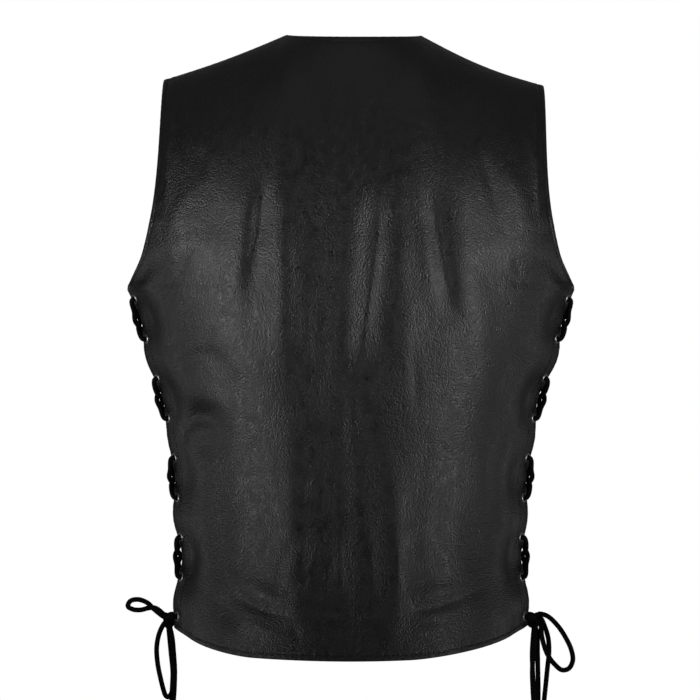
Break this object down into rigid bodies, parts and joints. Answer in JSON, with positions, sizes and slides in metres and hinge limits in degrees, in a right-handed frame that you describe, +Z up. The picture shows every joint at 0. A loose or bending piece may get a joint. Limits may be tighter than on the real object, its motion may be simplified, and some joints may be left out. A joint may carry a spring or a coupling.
{
  "type": "leather vest",
  "caption": "Side-laced leather vest in its worn, hollow form: one-piece back, V-neck snap front, and a braided lace crossing between eyelets down each side, tied in a bow.",
  "frame": {"origin": "midway between the middles of the two shoulder seams, where the wearer's shoulders carry the vest", "axes": "+Z up, -Y towards the wearer's front, +Y towards the wearer's back, +X towards the wearer's left"},
  "size_m": [0.4585, 0.2359, 0.7537],
  "materials": {
    "leather_back": "semi-gloss full-grain leather",
    "leather_front": "semi-gloss full-grain leather",
    "eyelet_metal": "polished nickel plate",
    "snap_metal": "polished nickel plate",
    "lace": "round braided cord"
  },
  "bodies": {
    "root": {"back_panel": "leather_back", "front_left": "leather_front", "front_right": "leather_front", "eyelet_back_left_1": "eyelet_metal", "eyelet_back_left_2": "eyelet_metal", "eyelet_back_left_3": "eyelet_metal", "eyelet_back_left_4": "eyelet_metal", "eyelet_back_left_5": "eyelet_metal", "eyelet_back_left_6": "eyelet_metal", "eyelet_back_left_7": "eyelet_metal", "eyelet_back_left_8": "eyelet_metal", "eyelet_back_left_9": "eyelet_metal", "eyelet_front_left_1": "eyelet_metal", "eyelet_front_left_2": "eyelet_metal", "eyelet_front_left_3": "eyelet_metal", "eyelet_front_left_4": "eyelet_metal", "eyelet_front_left_5": "eyelet_metal", "eyelet_front_left_6": "eyelet_metal", "eyelet_front_left_7": "eyelet_metal", "eyelet_front_left_8": "eyelet_metal", "eyelet_front_left_9": "eyelet_metal", "eyelet_back_right_1": "eyelet_metal", "eyelet_back_right_2": "eyelet_metal", "eyelet_back_right_3": "eyelet_metal", "eyelet_back_right_4": "eyelet_metal", "eyelet_back_right_5": "eyelet_metal", "eyelet_back_right_6": "eyelet_metal", "eyelet_back_right_7": "eyelet_metal", "eyelet_back_right_8": "eyelet_metal", "eyelet_back_right_9": "eyelet_metal", "eyelet_front_right_1": "eyelet_metal", "eyelet_front_right_2": "eyelet_metal", "eyelet_front_right_3": "eyelet_metal", "eyelet_front_right_4": "eyelet_metal", "eyelet_front_right_5": "eyelet_metal", "eyelet_front_right_6": "eyelet_metal", "eyelet_front_right_7": "eyelet_metal", "eyelet_front_right_8": "eyelet_metal", "eyelet_front_right_9": "eyelet_metal", "snap_1": "snap_metal", "snap_2": "snap_metal", "snap_3": "snap_metal", "snap_4": "snap_metal", "lace_left": "lace", "lace_right": "lace", "bow_knot_left": "lace", "bow_loop_a_left": "lace", "bow_loop_b_left": "lace", "bow_tail_a_left": "lace", "bow_tail_b_left": "lace", "bow_knot_right": "lace", "bow_loop_a_right": "lace", "bow_loop_b_right": "lace", "bow_tail_a_right": "lace", "bow_tail_b_right": "lace"}
  },
  "joints": []
}
